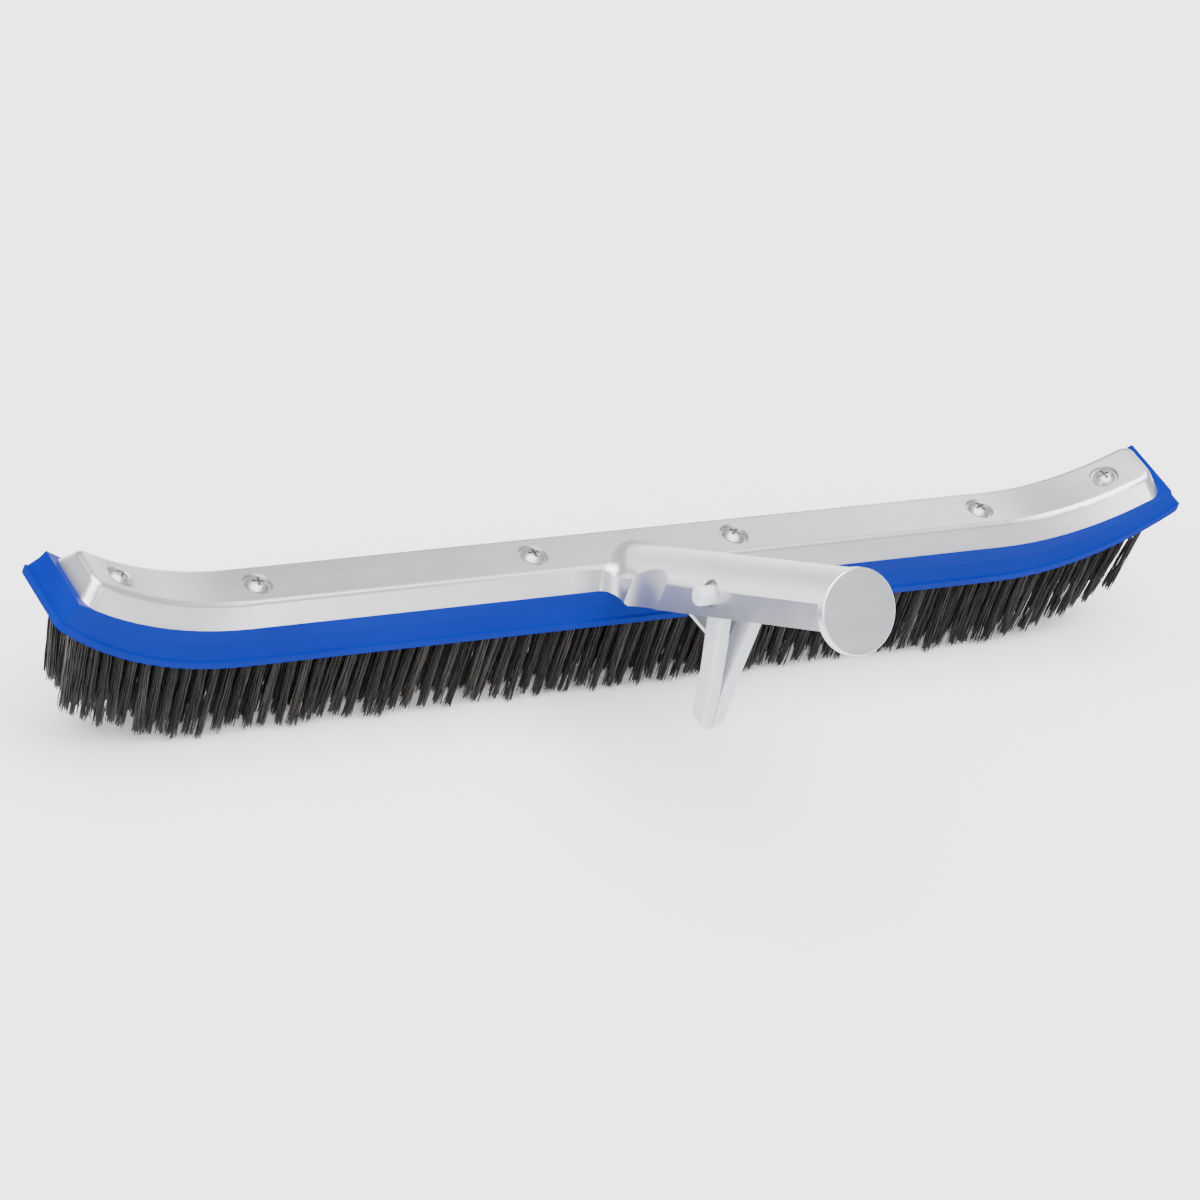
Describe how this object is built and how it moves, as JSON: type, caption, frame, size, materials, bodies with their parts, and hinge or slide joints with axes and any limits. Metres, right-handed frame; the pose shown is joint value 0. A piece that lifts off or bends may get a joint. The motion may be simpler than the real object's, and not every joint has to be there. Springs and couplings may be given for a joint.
{
  "type": "pool wall brush",
  "caption": "Curved wall and floor brush head with a cast metal back, open channel pole handle, sprung V clip, moulded block and wire tufts",
  "frame": {"origin": "centre of the brushing face, at the tips of the middle tufts", "axes": "+X along the brush, +Z from the tuft tips to the cast back, and the handle rises towards -Y"},
  "size_m": [0.4536, 0.1387, 0.131],
  "materials": {
    "casting": "satin die-cast, fine grain",
    "block": "glossy moulded, royal blue",
    "screws": "bright zinc-plated steel",
    "clip": "natural translucent white, satin",
    "bristle_wire": "crimped dark wire",
    "anchor_wire": "flat drawn wire"
  },
  "bodies": {
    "head": {"cast_back": "casting", "bristle_block": "block", "back_screws": "screws", "tuft_row_1": "bristle_wire", "tuft_row_2": "bristle_wire", "tuft_row_3": "bristle_wire", "tuft_row_4": "bristle_wire", "tuft_anchors_1": "anchor_wire", "tuft_anchors_2": "anchor_wire", "tuft_anchors_3": "anchor_wire", "tuft_anchors_4": "anchor_wire"},
    "clip": {"clip_yoke": "clip"},
    "arm_left": {"clip_arm_left": "clip"},
    "arm_right": {"clip_arm_right": "clip"}
  },
  "joints": [
    {"name": "clip_swing", "type": "hinge", "parent": "head", "child": "clip", "pos_m": [0, -0.06003, 0.08242], "axis": [1, 0, 0], "range_deg": [-118, 0]},
    {"name": "squeeze_left", "type": "hinge", "parent": "clip", "child": "arm_left", "pos_m": [-0.0022, -0.06516, 0.03872], "axis": [0, 0.9932, -0.1167], "range_deg": [0, 5.5], "stiffness_Nm_per_rad": 1},
    {"name": "squeeze_right", "type": "hinge", "parent": "clip", "child": "arm_right", "pos_m": [0.0022, -0.06516, 0.03872], "axis": [0, -0.9932, 0.1167], "range_deg": [0, 5.5], "stiffness_Nm_per_rad": 1}
  ],
  "couplings": [
    {"joint": "squeeze_right", "follows": "squeeze_left", "ratio": 1}
  ]
}
